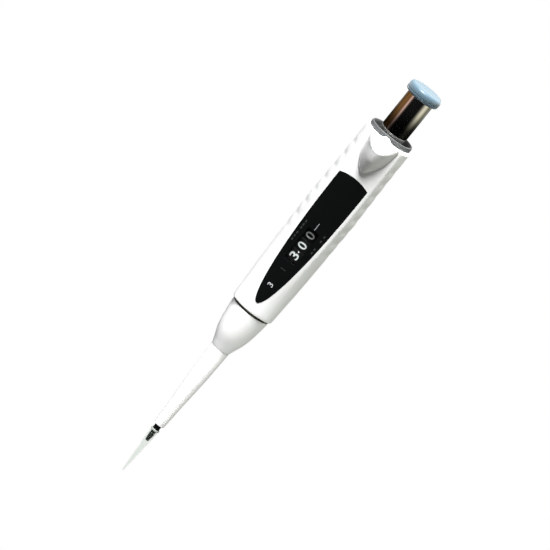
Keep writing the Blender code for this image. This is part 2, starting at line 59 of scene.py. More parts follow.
# Handle: height, half width, front depth, rear depth, half width of the front face, how far that face falls
# back at its corners, how softly the corners are rounded
HANDLE = (
    (122.9, 13.75, 13.5, 13.9, 9.6, 3.3, 2.6),
    (125.3, 13.95, 13.65, 14.15, 9.6, 3.3, 2.5),
    (134.7, 14.25, 13.95, 15.3, 9.8, 3.1, 2.1),
    (146.0, 14.7, 14.3, 16.8, 9.9, 2.6, 1.5),
    (158.0, 15.05, 14.5, 18.0, 10.1, 1.9, 0.9),
    (174.0, 15.35, 14.5, 18.5, 10.6, 1.3, 0.5),
    (186.0, 15.6, 14.5, 18.5, 11.1, 1.3, 0.45),
    (198.0, 15.84, 14.5, 18.3, 11.7, 1.3, 0.45),
    (207.0, 15.65, 14.5, 18.1, 11.7, 1.3, 0.45),
    (225.0, 15.3, 14.5, 17.8, 11.65, 1.3, 0.45),
    (241.0, 15.2, 14.5, 17.4, 11.6, 1.3, 0.5),
    (250.0, 15.05, 14.4, 16.9, 11.4, 1.3, 0.7),
)
HANDLE_LOW = 122.9
HANDLE_HIGH = 250.0
SIDE_Y = 5.0  # how far in front of the axis the handle is widest
SIDE_FULL = 0.45  # how far inside the widest place the side's curve is pulled
REAR_POWER = 2.6  # squareness of the rear
FOOT_ROUND = 0.7
SHOULDER_ROUND = 1.5
WALL = 1.15
SEAM_PAST = 1.1  # the seam runs this far outside the corner
SEAM_GAP = 0.1
COLLAR_HOLE = 12.2
SLOT = ((-3.2, 235.6), (3.2, 246.9))  # behind the ejector's pad: left and low, right and high
RIB_TOP = 237.0
RIB_PITCH = 8.8
RIB_DEPTH = 0.27
RIBS_START = (168.0, 14.0)  # the waves begin here and reach their depth over this length
RIBS_END = (245.0, 5.0)
SCREW_X = 10.2
SCREW_HEIGHT = 208.0
SCREW_HOLE_R = 2.0

PANEL_LOW = 130.0
PANEL_HIGH = 219.7
PANEL_RISE = 2.1
PANEL_HALF = 10.05
PANEL_POWER = 2.15
PANEL_THICK = 0.85
PANEL_PROUD = 0.03
WINDOW_HALF = 3.9
WINDOW_LOW = 160.9
WINDOW_HIGH = 183.4
WINDOW_ROUND = 0.8
LENS_GAP = 0.06
RECESS_GAP = 0.06
RECESS_EXTRA = 0.1
THROUGH = (-20.0, -8.0)  # Y of a cutter that passes right through the front shell
PANEL_THROUGH = (-20.0, -10.0)

DRUM_R = 12.0
DRUM_TALL = 7.0
DRUMS = (
    ("ones", "drum_ones", "drum_ones", 164.7, 3),
    ("tenths", "drum_tenths", "drum_tenths", 172.1, 0),
    ("hundredths", "drum_hundredths", "volume_drive", 179.5, 0),
)
DIGIT_TALL = 5.6
DIGIT_WIDE = 3.55
ONE_SLIM = 0.55  # a 1 is this much of the other digits' width
DIGIT_BOLD = 0.012
DRUM_STEP = 36


def spot(x, y, height):
    return (x * MM, y * MM, (height - HOOK_PLANE) * MM)


# --- materials --------------------------------------------------------------------------------------------

PATCHES = 70.0  # noise cells per metre
FINE_GRAIN = 1200.0
GRAIN_DEPTH = 0.00002
TIP_IOR = 1.18  # low, as the thin wall bends light less than a solid block would
LENS_SHINE = 0.05


def new_material(name):
    made = bpy.data.materials.new(name)
    made.use_nodes = True
    tree = made.node_tree
    return made, tree, tree.nodes["Principled BSDF"]


def noise(tree, scale, detail, stretch=(1.0, 1.0, 1.0)):
    coords = tree.nodes.new("ShaderNodeTexCoord")
    mapping = tree.nodes.new("ShaderNodeMapping")
    mapping.inputs["Scale"].default_value = stretch
    made = tree.nodes.new("ShaderNodeTexNoise")
    made.inputs["Scale"].default_value = scale
    made.inputs["Detail"].default_value = detail
    tree.links.new(coords.outputs["Object"], mapping.inputs["Vector"])
    tree.links.new(mapping.outputs["Vector"], made.inputs["Vector"])
    return made


def ramp(tree, source, low, high, start=0.3, end=0.7):
    made = tree.nodes.new("ShaderNodeValToRGB")
    made.color_ramp.elements[0].position = start
    made.color_ramp.elements[0].color = (*low, 1.0)
    made.color_ramp.elements[1].position = end
    made.color_ramp.elements[1].color = (*high, 1.0)
    tree.links.new(source, made.inputs["Fac"])
    return made.outputs["Color"]


def mapped(tree, source, *limits):
    """A Map Range node on a value, by its From Min, From Max, To Min and To Max."""
    made = tree.nodes.new("ShaderNodeMapRange")
    for socket, limit in zip(("From Min", "From Max", "To Min", "To Max"), limits):
        made.inputs[socket].default_value = limit
    tree.links.new(source, made.inputs["Value"])
    return made


def spread(tree, source, low, high):
    return mapped(tree, source, 0.3, 0.7, low, high).outputs["Result"]


def bumped(tree, shader, source, strength, distance):
    made = tree.nodes.new("ShaderNodeBump")
    made.inputs["Strength"].default_value = strength
    made.inputs["Distance"].default_value = distance
    tree.links.new(source, made.inputs["Height"])
    tree.links.new(made.outputs["Normal"], shader.inputs["Normal"])


def surface(name, colour, rough, vary=0.03, metal=0.0, grain=0.0, stretch=(1, 1, 1), sheen=0.0):
    """A procedural finish: the colour drifts a little over patches, the roughness over a fine grain."""
    made, tree, shader = new_material(name)
    shader.inputs["Metallic"].default_value = metal
    shader.inputs["Sheen Weight"].default_value = sheen
    broad = noise(tree, PATCHES, 3.0)
    close = noise(tree, FINE_GRAIN, 2.0, stretch)
    low = tuple(c * (1 - vary) for c in colour)
    high = tuple(min(c * (1 + vary), 1.0) for c in colour)
    tree.links.new(ramp(tree, broad.outputs["Fac"], low, high), shader.inputs["Base Color"])
    tree.links.new(spread(tree, close.outputs["Fac"], rough * 0.92, rough * 1.08), shader.inputs["Roughness"])
    if grain:
        bumped(tree, shader, close.outputs["Fac"], grain, GRAIN_DEPTH)
    return made


def clear_plastic(name):
    """Clear polypropylene."""
    made, tree, shader = new_material(name)
    shader.inputs["Transmission Weight"].default_value = 1.0
    shader.inputs["IOR"].default_value = TIP_IOR
    broad = noise(tree, 300.0, 3.0)
    tint = ramp(tree, broad.outputs["Fac"], (0.86, 0.885, 0.86), (0.88, 0.905, 0.88))
    tree.links.new(tint, shader.inputs["Base Color"])
    tree.links.new(spread(tree, broad.outputs["Fac"], 0.02, 0.05), shader.inputs["Roughness"])
    return made


def lens_plastic(name):
    """Clear acrylic in front of the number drums."""
    made = bpy.data.materials.new(name)
    made.use_nodes = True
    tree = made.node_tree
    tree.nodes.remove(tree.nodes["Principled BSDF"])
    through = tree.nodes.new("ShaderNodeBsdfTransparent")
    gloss = tree.nodes.new("ShaderNodeBsdfGlossy")
    mix = tree.nodes.new("ShaderNodeMixShader")
    mix.inputs["Fac"].default_value = LENS_SHINE
    close = noise(tree, 400.0, 2.0)
    tint = ramp(tree, close.outputs["Fac"], (0.96, 0.98, 0.97), (1.0, 1.0, 1.0))
    tree.links.new(spread(tree, close.outputs["Fac"], 0.04, 0.08), gloss.inputs["Roughness"])
    tree.links.new(tint, through.inputs["Color"])
    tree.links.new(through.outputs["BSDF"], mix.inputs[1])
    tree.links.new(gloss.outputs["BSDF"], mix.inputs[2])
    tree.links.new(mix.outputs["Shader"], tree.nodes["Material Output"].inputs["Surface"])
    return made


LOOK = {
    "white": surface("white_plastic", (0.9, 0.91, 0.9), 0.3, vary=0.012),
    "grip": surface("grip_plastic", (0.87, 0.885, 0.87), 0.42, vary=0.012, grain=0.1),
    "panel": surface("panel_black", (0.0035, 0.004, 0.004), 0.06, vary=0.1),
    "drum": surface("drum_black", (0.0035, 0.004, 0.004), 0.45, vary=0.1),
    "ink": surface("white_ink", (0.9, 0.92, 0.92), 0.5, vary=0.02),
    "ink_grey": surface("grey_ink", (0.34, 0.36, 0.37), 0.5, vary=0.03),
    "ink_soft": surface("soft_ink", (0.55, 0.57, 0.57), 0.5, vary=0.03),
    "ink_dim": surface("dim_ink", (0.03, 0.034, 0.033), 0.5, vary=0.05),
    "ring": surface("collar_grey", (0.125, 0.13, 0.135), 0.42, vary=0.03),
    # painted shade: near black for the shade inside the top collar's recess and on its rim's inner edge
    "inset": surface("collar_painted_shade", (0.02, 0.021, 0.022), 0.5, vary=0.05),
    "cap": surface("cap_blue", (0.115, 0.195, 0.25), 0.36, vary=0.02, sheen=0.4),
    "chrome": surface("chrome_plate", (0.86, 0.85, 0.83), 0.05, vary=0.01, metal=1.0),
    "barrel": surface("barrel_black", (0.006, 0.007, 0.007), 0.28, vary=0.1),
    "nut": surface("nut_brown", (0.165, 0.16, 0.13), 0.5, vary=0.05),
    "frame": surface("frame_grey", (0.4, 0.41, 0.42), 0.5, vary=0.03),
    "seal": surface("seal_white", (0.86, 0.85, 0.8), 0.5, vary=0.02),
    "rubber": surface("seal_rubber", (0.025, 0.025, 0.026), 0.7, vary=0.1, grain=0.2),
    "steel": surface("steel_turned", (0.62, 0.62, 0.61), 0.26, vary=0.04, metal=1.0, stretch=(1, 1, 8)),
    "brass": surface("brass_turned", (0.72, 0.53, 0.24), 0.28, vary=0.05, metal=1.0, stretch=(1, 1, 8)),
    "band": surface("groove_grey", (0.1, 0.11, 0.1), 0.5, vary=0.05),
    "tip": clear_plastic("tip_clear"),
    # painted reflection: an opaque grey stands for the light reflected in the clear tip's thick rim
    "rim": surface("tip_rim_painted_reflection", (0.36, 0.38, 0.36), 0.5, vary=0.04),
    "lens": lens_plastic("lens_clear"),
}

INNER = {
    "steel": (
        "blowout_spring",
        "click_spring",
        "ejector_rod",
        "ejector_spring",
        "main_spring",
        "operating_rod",
        "pinion_shaft",
        "piston",
        "rod_clip",
        "shell_screw_left",
        "shell_screw_right",
        "stop_collar",
        "stop_plate",
    ),
    "brass": ("calibration_nut", "seal_retainer", "volume_nut", "volume_screw"),
    "frame": (
        "button_retainer",
        "click_wheel",
        "counter_frame",
        "drive_sleeve",
        "ejector_guide",
        "lower_bulkhead",
        "pinion_lower",
        "pinion_upper",
        "upper_bulkhead",
    ),
    "barrel": ("piston_head",),
    "seal": ("piston_seal",),
    "rubber": ("o_ring",),
}


def dress_inner_parts():
    """Gives the parts that stay as the CAD made them their finishes."""
    for look, names in INNER.items():
        for name in names:
            mesh = frame["nodes"][name].data
            mesh.materials.clear()
            mesh.materials.append(LOOK[look])


# --- building ---------------------------------------------------------------------------------------------


def placed(name, data):
    made = bpy.data.objects.new(name, data)
    bpy.context.scene.collection.objects.link(made)
    return made


def piece(name, mesh, look, body=None, stands_for=(), sharp=35.0):
    """An object for one visible piece, smooth except along sharp edges, riding on its body."""
    mesh.materials.clear()
    mesh.materials.append(LOOK[look])
    mesh.shade_smooth()
    mesh.set_sharp_from_angle(angle=math.radians(sharp))
    made = placed(name, mesh)
    if body:
        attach(made, body)
    if stands_for:
        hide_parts(*stands_for)
    return made


def mesh_of(name, places, faces):
    """A mesh from places in millimetres, faces turned outwards."""
    bm = bmesh.new()
    corners = [bm.verts.new(spot(*p)) for p in places]
    for face in faces:
        kept = [corners[i] for i in dict.fromkeys(face)]
        if len(kept) > 2:
            bm.faces.new(kept)
    bmesh.ops.recalc_face_normals(bm, faces=bm.faces)
    mesh = bpy.data.meshes.new(name)
    bm.to_mesh(mesh)
    bm.free()
    return mesh


def settle(made):
    """Applies an object's modifiers to its mesh."""
    graph = bpy.context.evaluated_depsgraph_get()
    mesh = bpy.data.meshes.new_from_object(made.evaluated_get(graph))
    made.modifiers.clear()
    made.data = mesh


def carve(made, cutter, how="DIFFERENCE"):
    """Cuts an object with a mesh, or joins the mesh to it."""
    tool = placed("tool", cutter)
    step = made.modifiers.new("carve", "BOOLEAN")
    step.operation = how
    step.solver = "EXACT"
    step.object = tool
    settle(made)
    bpy.data.objects.remove(tool, do_unlink=True)


def soften_edges(made, width, segments, angle=35.0):
    """Rounds an object's edges that are sharper than an angle."""
    step = made.modifiers.new("soften", "BEVEL")
    step.width = width * MM
    step.segments = segments
    step.limit_method = "ANGLE"
    step.angle_limit = math.radians(angle)
    step.harden_normals = False
    settle(made)


def circle(radius, sides):
    turns = [2 * math.pi * i / sides for i in range(sides)]
    return [(radius * math.cos(turn), radius * math.sin(turn)) for turn in turns]


MOST_ROUND = 0.48  # a rounding takes no more than this share of the edges beside it


def rounded(corners):
    """Replaces each corner (radius, height, rounding) of a closed outline with an arc."""
    places = []
    for i, (r, h, *extra) in enumerate(corners):
        here = Vector((r, h))
        reach = extra[0] if extra else 0.0
        before = Vector(corners[i - 1][:2]) - here
        after = Vector(corners[(i + 1) % len(corners)][:2]) - here
        if reach <= 0 or before.length < 1e-6 or after.length < 1e-6:
            places.append((r, h))
            continue
        back = min(reach, before.length * MOST_ROUND, after.length * MOST_ROUND)
        start = here + before.normalized() * back
        end = here + after.normalized() * back
        for t in (0.0, 0.2, 0.4, 0.6, 0.8, 1.0):
            p = start * (1 - t) ** 2 + here * 2 * t * (1 - t) + end * t * t
            places.append((p.x, p.y))
    return places


def turned_mesh(name, corners, sides):
    """Turns a closed outline of (radius, height, rounding) round the axis."""
    places, faces = [], []
    rings = []
    for radius, height in rounded(corners):
        if radius < 1e-6:
            rings.append([len(places)])
            places.append((0.0, 0.0, height))
            continue
        rings.append(list(range(len(places), len(places) + sides)))
        places += [(*p, height) for p in circle(radius, sides)]
    for ring, after in zip(rings, rings[1:] + rings[:1]):
        if len(ring) == 1 and len(after) == 1:
            continue
        for i in range(sides):
            j = (i + 1) % sides
            a, b = ring[i % len(ring)], ring[j % len(ring)]
            c, d = after[j % len(after)], after[i % len(after)]
            faces.append((a, b, c, d))
    return mesh_of(name, places, faces)


def turned(name, corners, look, body, stands_for=(), sides=96):
    return piece(name, turned_mesh(name, corners, sides), look, body, stands_for)


def capped_faces(rings, count):
    """Faces of a closed tube through rings of count places each."""
    faces = [tuple(range(count)), tuple(range(rings * count - 1, (rings - 1) * count - 1, -1))]
    for r in range(rings - 1):
        a, b = r * count, (r + 1) * count
        faces += [(a + i, a + (i + 1) % count, b + (i + 1) % count, b + i) for i in range(count)]
    return faces


def plate_mesh(name, front, back):
    """A closed plate between two grids of places with the same rows and columns."""
    rows, columns = len(front), len(front[0])
    places = [p for row in front for p in row] + [p for row in back for p in row]
    shift = rows * columns
    faces = []
    for r in range(rows - 1):
        for c in range(columns - 1):
            a = r * columns + c
            quad = (a, a + 1, a + columns + 1, a + columns)
            faces.append(quad)
            faces.append(tuple(shift + i for i in reversed(quad)))
    rim = [c for c in range(columns)]
    rim += [r * columns + columns - 1 for r in range(1, rows)]
    rim += [(rows - 1) * columns + c for c in range(columns - 2, -1, -1)]
    rim += [r * columns for r in range(rows - 2, 0, -1)]
    for a, b in zip(rim, rim[1:] + rim[:1]):
        faces.append((a, b, shift + b, shift + a))
    return mesh_of(name, places, faces)


def box_mesh(name, low, high):
    xs, ys, hs = zip(low, high)
    front = [[(x, ys[0], h) for x in xs] for h in hs]
    back = [[(x, ys[1], h) for x in xs] for h in hs]
    return plate_mesh(name, front, back)


# --- the handle -------------------------------------------------------------------------------------------


def between(table, at):
    """Catmull-Rom values of a table's columns at a place in its first column."""
    rows = np.array(table, float)
    last = len(rows) - 1
    k = int(np.clip(np.searchsorted(rows[:, 0], at, side="right") - 1, 0, last - 1))
    t = (at - rows[k, 0]) / (rows[k + 1, 0] - rows[k, 0])
    p0, p1, p2, p3 = (rows[min(max(k + i, 0), last)] for i in (-1, 0, 1, 2))
    # slopes by the rows' real spacing keep unevenly spaced tables smooth
    span = p2[0] - p1[0]
    m1 = (p2 - p0) / max(p2[0] - p0[0], 1e-9) * span
    m2 = (p3 - p1) / max(p3[0] - p1[0], 1e-9) * span
    t2, t3 = t * t, t * t * t
    value = (2 * t3 - 3 * t2 + 1) * p1 + (t3 - 2 * t2 + t) * m1 + (-2 * t3 + 3 * t2) * p2 + (t3 - t2) * m2
    return value[1:]


def front_y(x, height):
    """Y of the handle's front face."""
    _, front, _, face, crown, _ = between(HANDLE, min(max(height, HANDLE_LOW), HANDLE_HIGH))
    return -(front - crown * (x / face) ** 2)


def outline(height):
    """The handle's outline at a height as evenly spaced places from the middle of the front, its length, and
    the length from there to the corner."""
    half, front, rear, face, crown, soft = between(HANDLE, height)
    xs = np.linspace(0, face, 80)
    run = [np.c_[xs, -(front - crown * (xs / face) ** 2)]]
    corner = run[0][-1]
    side = np.array([half, -SIDE_Y])
    pull = np.array([half - SIDE_FULL, corner[1] + 0.5 * (side[1] - corner[1])])
    t = np.linspace(0, 1, 60)[1:, None]
    run.append(corner * (1 - t) ** 2 + pull * 2 * t * (1 - t) + side * t * t)
    turn = np.linspace(0, math.pi / 2, 160)[1:]
    x = half * np.clip(np.cos(turn), 0, 1) ** (2 / REAR_POWER)
    y = -SIDE_Y + (rear + SIDE_Y) * np.sin(turn) ** (2 / REAR_POWER)
    run.append(np.c_[x, y])
    right = np.vstack(run)
    loop = np.vstack([right, (right[1:-1] * [-1, 1])[::-1]])
    steps = np.r_[0, np.cumsum(np.hypot(*np.diff(np.vstack([loop, loop[:1]]), axis=0).T))]
    total = steps[-1]
    count = 512
    even = np.linspace(0, total, count, endpoint=False)
    closed = np.vstack([loop, loop[:1]])
    places = np.c_[np.interp(even, steps, closed[:, 0]), np.interp(even, steps, closed[:, 1])]
    wave = np.fft.rfftfreq(count, total / count)
    keep = np.exp(-2 * (math.pi * wave * soft) ** 2)[:, None]
    places = np.fft.irfft(np.fft.rfft(places, axis=0) * keep, count, axis=0)
    return places, total, steps[len(xs) - 1]


def stretch_of(places, total, start, end, count):
    """Places and outward normals at count even steps between two lengths along a closed outline."""
    ahead = np.roll(places, -1, axis=0) - np.roll(places, 1, axis=0)
    normals = np.c_[ahead[:, 1], -ahead[:, 0]]
    normals /= np.linalg.norm(normals, axis=1)[:, None]
    n = len(places)
    at = (np.linspace(start, end, count) / total * n) % n
    i = np.floor(at).astype(int) % n
    j = (i + 1) % n
    f = (at - np.floor(at))[:, None]
    return places[i] * (1 - f) + places[j] * f, normals[i] * (1 - f) + normals[j] * f


def end_inset(height):
    """How far the outline draws in where the foot and the shoulder are rounded."""
    for near, radius in ((height - HANDLE_LOW, FOOT_ROUND), (HANDLE_HIGH - height, SHOULDER_ROUND)):
        if near < radius:
            return radius - math.sqrt(max(radius**2 - (radius - near) ** 2, 0.0))
    return 0.0


def rib_depth(height):
    """Depth of the grip's shallow waves at a height."""
    wave = (0.5 + 0.5 * math.cos(2 * math.pi * (height - RIB_TOP) / RIB_PITCH)) ** 2
    rise = min(max((height - RIBS_START[0]) / RIBS_START[1], 0.0), 1.0)
    fall = min(max((RIBS_END[0] - height) / RIBS_END[1], 0.0), 1.0)
    return RIB_DEPTH * wave * rise * fall


def shell_heights(step):
    """Heights of a shell's rows, close together where its foot and shoulder are rounded."""
    rows = [HANDLE_LOW + FOOT_ROUND * (1 - math.cos(a)) for a in np.linspace(0, math.pi / 2, 7)]
    middle_low, middle_high = HANDLE_LOW + FOOT_ROUND, HANDLE_HIGH - SHOULDER_ROUND
    count = int((middle_high - middle_low) / step)
    rows += list(np.linspace(middle_low, middle_high, count + 1))[1:]
    rows += [HANDLE_HIGH - SHOULDER_ROUND * (1 - math.sin(a)) for a in np.linspace(0, math.pi / 2, 9)][1:]
    return rows


def shell_mesh(name, is_front, columns, step):
    """The front or the rear shell, with a brim over its top that leaves a round hole for the collar."""
    outer, inner = [], []
    for height in shell_heights(step):
        places, total, corner = outline(height)
        seam = corner + SEAM_PAST
        half_gap = SEAM_GAP / 2
        if is_front:
            start, end = -(seam - half_gap), seam - half_gap
        else:
            start, end = seam + half_gap, total - seam - half_gap
        run, out = stretch_of(places, total, start, end, columns)
        inset = np.full(columns, end_inset(height))
        if not is_front:
            from_seam = np.linspace(0, end - start, columns)
            near = np.minimum(from_seam, from_seam[::-1])
            inset += rib_depth(height) * np.clip((near - 0.3) / 2.2, 0, 1) ** 2
        outer.append([(*p, height) for p in run - out * inset[:, None]])
        in_height = min(max(height, HANDLE_LOW), HANDLE_HIGH - 1.5)
        inner.append([(*p, in_height) for p in run - out * max(WALL, end_inset(height) + 0.5)])
    brim = []
    for height in (HANDLE_HIGH, HANDLE_HIGH - 1.45):
        row = []
        for x, y, _ in outer[-1]:
            far = math.hypot(x, y)
            row.append((x * COLLAR_HOLE / far, y * COLLAR_HOLE / far, height))
        brim.append(row)
    loops = outer + brim + inner[::-1]
    rows = len(loops)
    places = [p for row in loops for p in row]
    faces = []
    for r in range(rows):
        s = (r + 1) % rows
        for c in range(columns - 1):
            faces.append((r * columns + c, r * columns + c + 1, s * columns + c + 1, s * columns + c))
    n = len(outer)
    for c in (0, columns - 1):
        for r in range(n - 1):
            faces.append(tuple(i * columns + c for i in (r, r + 1, rows - 2 - r, rows - 1 - r)))
        faces.append(tuple(i * columns + c for i in (n - 1, n, n + 1, n + 2)))
    return mesh_of(name, places, faces)


def panel_half(height):
    """Half width of the display panel, which comes to a point at its lower end."""
    share = (height - PANEL_LOW) / (PANEL_HIGH - PANEL_LOW)
    return PANEL_HALF * math.sqrt(min(max(1 - max(1 - share, 0.0) ** PANEL_POWER, 0.0), 1.0))


def panel_mesh(name, grow, proud, depth):
    """The panel's plate, or with some growth the recess it lies in."""
    front, back = [], []
    for share in [0.0007 + 0.9993 * (k / 90) ** 1.8 for k in range(91)]:
        rows = ([], [])
        for k in range(41):
            u = k / 20 - 1
            top = PANEL_HIGH + PANEL_RISE * (1 - u * u) + grow
            low = PANEL_LOW - grow
            height = low + share * (top - low)
            x = u * (panel_half(max(height, PANEL_LOW + 0.06)) + grow)
            y = front_y(x, height)
            rows[0].append((x, y - proud, height))
            rows[1].append((x, y + depth, height))
        front.append(rows[0])
        back.append(rows[1])
    return plate_mesh(name, front, back)


def window_mesh(name, grow, y_out, y_in):
    """A rounded rectangle through the panel."""
    across = WINDOW_HALF + grow - WINDOW_ROUND
    low = WINDOW_LOW - grow + WINDOW_ROUND
    high = WINDOW_HIGH + grow - WINDOW_ROUND
    ring = []
    for x, z, start in ((across, high, 0), (-across, high, 90), (-across, low, 180), (across, low, 270)):
        for k in range(7):
            turn = math.radians(start + 15 * k)
            ring.append((x + WINDOW_ROUND * math.cos(turn), z + WINDOW_ROUND * math.sin(turn)))
    places = [(x, y, z) for y in (y_out, y_in) for x, z in ring]
    return mesh_of(name, places, capped_faces(2, len(ring)))


def lens_mesh(name):
    """The lens follows the face, so it is cut from a panel-like plate."""
    front, back = [], []
    reach, low, high = WINDOW_HALF - LENS_GAP, WINDOW_LOW + LENS_GAP, WINDOW_HIGH - LENS_GAP
    for k in range(31):
        height = low + (high - low) * k / 30
        rows = ([], [])
        for i in range(13):
            x = reach * (i / 6 - 1)
            y = front_y(x, height)
            rows[0].append((x, y - PANEL_PROUD, height))
            rows[1].append((x, y + PANEL_THICK, height))
        front.append(rows[0])
        back.append(rows[1])
    return plate_mesh(name, front, back)


def handle():
    mesh = shell_mesh("body_front", True, 65, 2.0)
    front = piece("body_front", mesh, "white", "handle", ("front_shell",))
    carve(front, panel_mesh("recess", RECESS_GAP, 1.0, PANEL_THICK + RECESS_EXTRA))
    carve(front, window_mesh("opening", 0.4, *THROUGH))
    (left, low), (right, high) = SLOT
    carve(front, box_mesh("slot", (left, THROUGH[0], low), (right, THROUGH[1], high)))
    smooth_again(front)
    mesh = shell_mesh("body_rear", False, 151, 0.8)
    rear = piece("body_rear", mesh, "grip", "handle", ("rear_shell",))
    for side in (-1, 1):
        carve(rear, screw_hole_mesh("hole", side * SCREW_X, 9.0, 20.0))
    smooth_again(rear)


def smooth_again(made, sharp=35.0):
    """Smooth shading after a cut."""
    made.data.shade_smooth()
    made.data.set_sharp_from_angle(angle=math.radians(sharp))


def screw_hole_mesh(name, x, y_in, y_out):
    ring = circle(SCREW_HOLE_R, 40)
    places = [(x + across, y, SCREW_HEIGHT + up) for y in (y_in, y_out) for across, up in ring]
    return mesh_of(name, places, capped_faces(2, len(ring)))


# --- display ----------------------------------------------------------------------------------------------


def glyph(text, tall, wide, weight=0.0, cuts=12):
    """A centred character as places and faces in millimetres: x across, y up, z from 0 to 1 through it."""
    curve = bpy.data.curves.new("glyph", "FONT")
    curve.body = text
    curve.size = 1.0
    curve.extrude = 0.5
    curve.offset = weight
    curve.resolution_u = 8
    holder = placed("glyph", curve)
    graph = bpy.context.evaluated_depsgraph_get()
    mesh = bpy.data.meshes.new_from_object(holder.evaluated_get(graph))
    bpy.data.objects.remove(holder, do_unlink=True)
    bm = bmesh.new()
    bm.from_mesh(mesh)
    bmesh.ops.remove_doubles(bm, verts=bm.verts, dist=1e-5)
    co = np.array([v.co for v in bm.verts])
    low, high = co.min(0), co.max(0)
    for v in bm.verts:
        v.co.x = ((v.co.x - low[0]) / (high[0] - low[0]) - 0.5) * wide
        v.co.y = ((v.co.y - low[1]) / (high[1] - low[1]) - 0.5) * tall
        v.co.z = (v.co.z - low[2]) / (high[2] - low[2])
    for k in range(1, cuts):
        at = (k / cuts - 0.5) * tall
        every = list(bm.verts) + list(bm.edges) + list(bm.faces)
        bmesh.ops.bisect_plane(bm, geom=every, plane_co=(0, at, 0), plane_no=(0, 1, 0), dist=1e-5)
    bm.verts.index_update()
    places = [tuple(v.co) for v in bm.verts]
    faces = [tuple(v.index for v in f.verts) for f in bm.faces]
    bm.free()
    return places, faces


def joined(name, parts):
    """One mesh from several lots of places and faces."""
    places, faces = [], []
    for more, sides in parts:
        shift = len(places)
        places += more
        faces += [tuple(i + shift for i in face) for face in sides]
    return mesh_of(name, places, faces)


def on_drum(shape, middle, turn):
    """Wraps a character round a drum, reading up the axis, with its middle at an angle from the front."""
    places, faces = shape
    wrapped = []
    for across, up, out in places:
        angle = turn - up / DRUM_R
        radius = DRUM_R - 0.05 + 0.08 * out
        wrapped.append((radius * math.sin(angle), -radius * math.cos(angle), middle + across))
    return wrapped, faces


def on_face(shape, x, height, lift=0.0):
    """Lays a character on the panel, reading up the axis."""
    places, faces = shape
    laid = []
    for across, up, out in places:
        px, ph = x - up, height + across
        laid.append((px, front_y(px, ph) - PANEL_PROUD + 0.02 - lift - 0.05 * out, ph))
    return laid, faces


def bar(wide, tall):
    """A flat strip as places and faces, like a character."""
    x, y = wide / 2, tall / 2
    corners = ((-x, -y), (x, -y), (x, y), (-x, y))
    places = [(*corner, z) for z in (0.0, 1.0) for corner in corners]
    faces = [(3, 2, 1, 0), (4, 5, 6, 7), (0, 1, 5, 4), (1, 2, 6, 5), (2, 3, 7, 6), (3, 0, 4, 7)]
    return places, faces


def disc(radius, sides=24):
    """A flat disc, like a character."""
    places = [(*p, z) for z in (0.0, 1.0) for p in circle(radius, sides)]
    return places, capped_faces(2, sides)


def display():
    mesh = panel_mesh("panel", 0.0, PANEL_PROUD, PANEL_THICK)
    panel = piece("panel", mesh, "panel", "handle", ("display_panel",))
    carve(panel, window_mesh("opening", 0.0, *PANEL_THROUGH))
    soften_edges(panel, 0.08, 2)
    smooth_again(panel)
    mesh = lens_mesh("panel_lens")
    lens = piece("panel_lens", mesh, "lens", "handle", ("display_lens",))
    carve(lens, window_mesh("trim", -0.05, *PANEL_THROUGH), "INTERSECT")
    smooth_again(lens)
    slim = {1: ONE_SLIM}
    digits = [glyph(str(d), DIGIT_TALL, DIGIT_WIDE * slim.get(d, 1.0), DIGIT_BOLD) for d in range(10)]
    for name, node, body, middle, shown in DRUMS:
        low, high = middle - DRUM_TALL / 2, middle + DRUM_TALL / 2
        ring = [
            (DRUM_R, low, 0.15),
            (DRUM_R, high, 0.15),
            (10.2, high),
            (10.2, middle),
            (6.2, middle),
            (6.2, low),
        ]
        turned(f"drum_{name}_wheel", ring, "drum", body, (node,))
        parts = []
        for d in range(10):
            turn = math.radians(DRUM_STEP * ((shown - d) % 10))
            parts.append(on_drum(digits[d], middle, turn))
        piece(f"digits_{name}", joined(f"digits_{name}", parts), "ink", body)
    point = on_face(disc(0.42), 0.75, 168.4, 0.02)
    piece("panel_point", joined("panel_point", [point]), "ink", "handle")
    index = on_face(bar(4.8, 0.4), 0.0, 186.3, 0.05)
    piece("panel_index", joined("panel_index", [index]), "ink_grey", "handle")
    largest = on_face(glyph("3", 3.3, 2.1, 0.0, 8), -0.2, 143.3)
    piece("range_number", joined("range_number", [largest]), "ink_soft", "handle")
    ticks = []
    for x, spots in ((-6.9, (172.0, 174.4, 176.8, 180.4, 182.6, 185.0)), (6.9, (172.6, 175.2, 181.0, 184.2))):
        ticks += [on_face(bar(1.5, 0.8), x, height, 0.04) for height in spots]
    ticks.append(on_face(bar(0.4, 3.4), 0.0, 155.0, 0.05))
    piece("panel_ticks", joined("panel_ticks", ticks), "ink_dim", "handle")


# --- ejector ----------------------------------------------------------------------------------------------

# The ejector's pad from its point over the lip to the top: station, height at the middle, how much higher the
# sides are, half width, how far the middle stands out, squareness across
PAD = (
    (0.0, 226.6, 0.2, 0.6, 0.05, 2.0),
    (1.0, 227.9, 0.8, 2.9, 0.9, 2.0),
    (2.0, 230.2, 1.5, 5.0, 2.1, 2.0),
    (3.0, 233.0, 2.2, 6.9, 3.4, 2.0),
    (4.0, 236.0, 2.8, 8.2, 4.7, 2.0),
    (5.0, 239.2, 3.4, 8.9, 5.45, 2.1),
    (6.0, 241.3, 4.0, 9.2, 5.75, 2.2),
    (7.0, 242.2, 4.3, 9.35, 5.85, 2.3),
    (8.0, 243.3, 4.2, 9.5, 5.65, 2.5),
    (9.0, 245.6, 3.3, 9.6, 4.6, 2.9),
    (10.0, 247.9, 1.7, 9.65, 3.0, 3.8),
    (11.0, 249.7, 0.5, 9.6, 1.2, 6.0),
    (12.0, 250.3, 0.1, 9.5, 0.6, 8.0),
)


